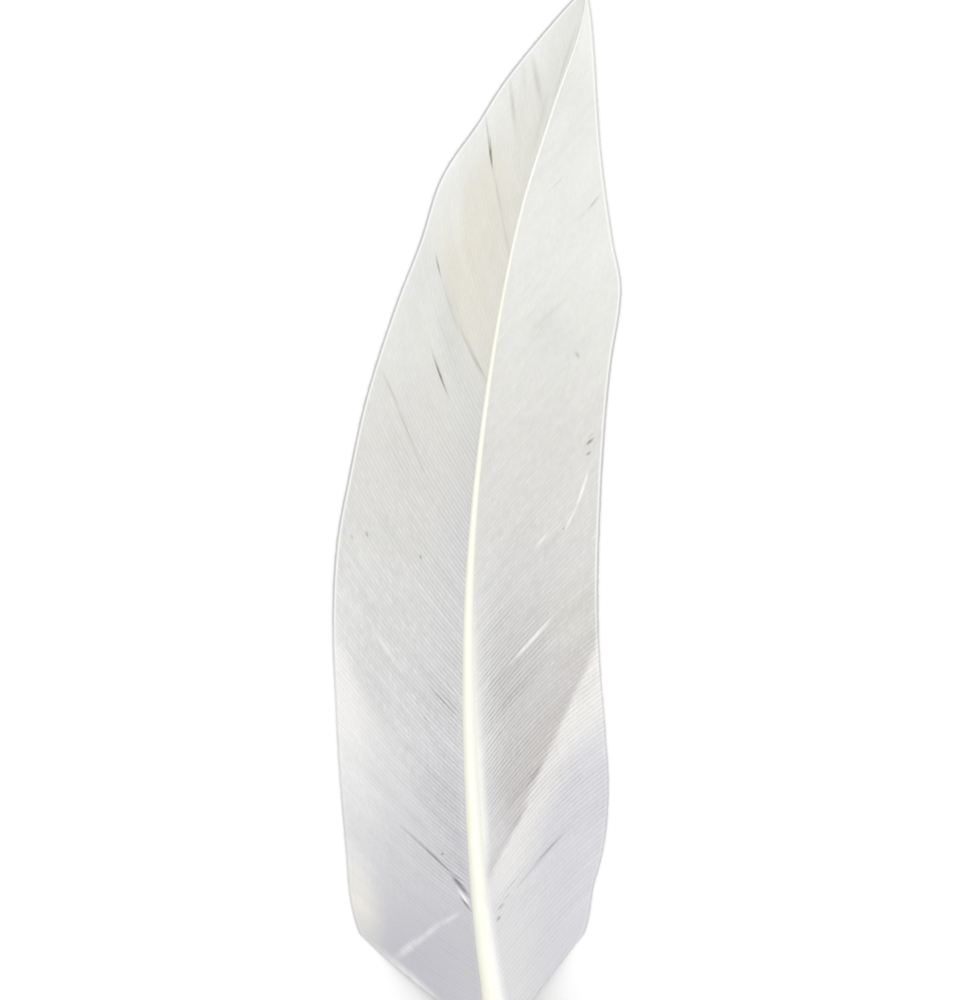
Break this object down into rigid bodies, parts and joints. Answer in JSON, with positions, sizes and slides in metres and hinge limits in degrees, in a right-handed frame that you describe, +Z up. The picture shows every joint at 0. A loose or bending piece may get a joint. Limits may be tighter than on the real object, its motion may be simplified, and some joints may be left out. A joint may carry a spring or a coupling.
{
  "type": "goose quill feather",
  "caption": "Pale wing quill of a goose: a bare tapering quill, an arched shaft, a broad barbed vane on each side and a tuft of down at the foot, lying upper side up.",
  "frame": {"origin": "middle of the feather's box in plan, on the surface it lies on", "axes": "+Y along the feather from the quill to the tip, +X to the right seen from above with the tip away, +Z up"},
  "size_m": [0.0388, 0.1818, 0.0065],
  "materials": {
    "horn": "smooth pale cream keratin, satin",
    "vane": "off-white web of fine parallel barbs, soft sheen",
    "down": "loose white down, matt"
  },
  "bodies": {
    "root": {"shaft": "horn", "left_vane": "vane", "right_vane": "vane", "left_down": "down", "right_down": "down"}
  },
  "joints": []
}
